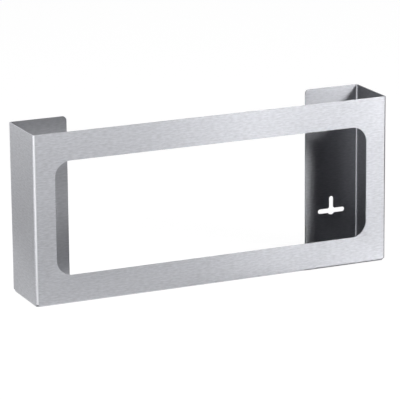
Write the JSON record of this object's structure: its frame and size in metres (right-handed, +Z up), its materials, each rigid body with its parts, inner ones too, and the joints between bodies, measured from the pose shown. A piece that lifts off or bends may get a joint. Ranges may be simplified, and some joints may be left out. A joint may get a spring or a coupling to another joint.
{
  "type": "disposable glove dispenser",
  "caption": "Wall-mounted holder for boxes of disposable gloves, folded from one stainless sheet, with a wide rounded window, rear ears with T-shaped keyholes and bottom ledges.",
  "frame": {"origin": "middle of the underside: halfway between the sides, halfway between the front face and the wall face, on the underside of the ledges", "axes": "+X to the right as seen from the front, +Y back towards the wall, +Z up"},
  "size_m": [0.4, 0.067, 0.18],
  "materials": {
    "brushed_stainless": "fine brushed grain along the length of the sheet, satin"
  },
  "bodies": {
    "root": {"holder": "brushed_stainless"}
  },
  "joints": []
}
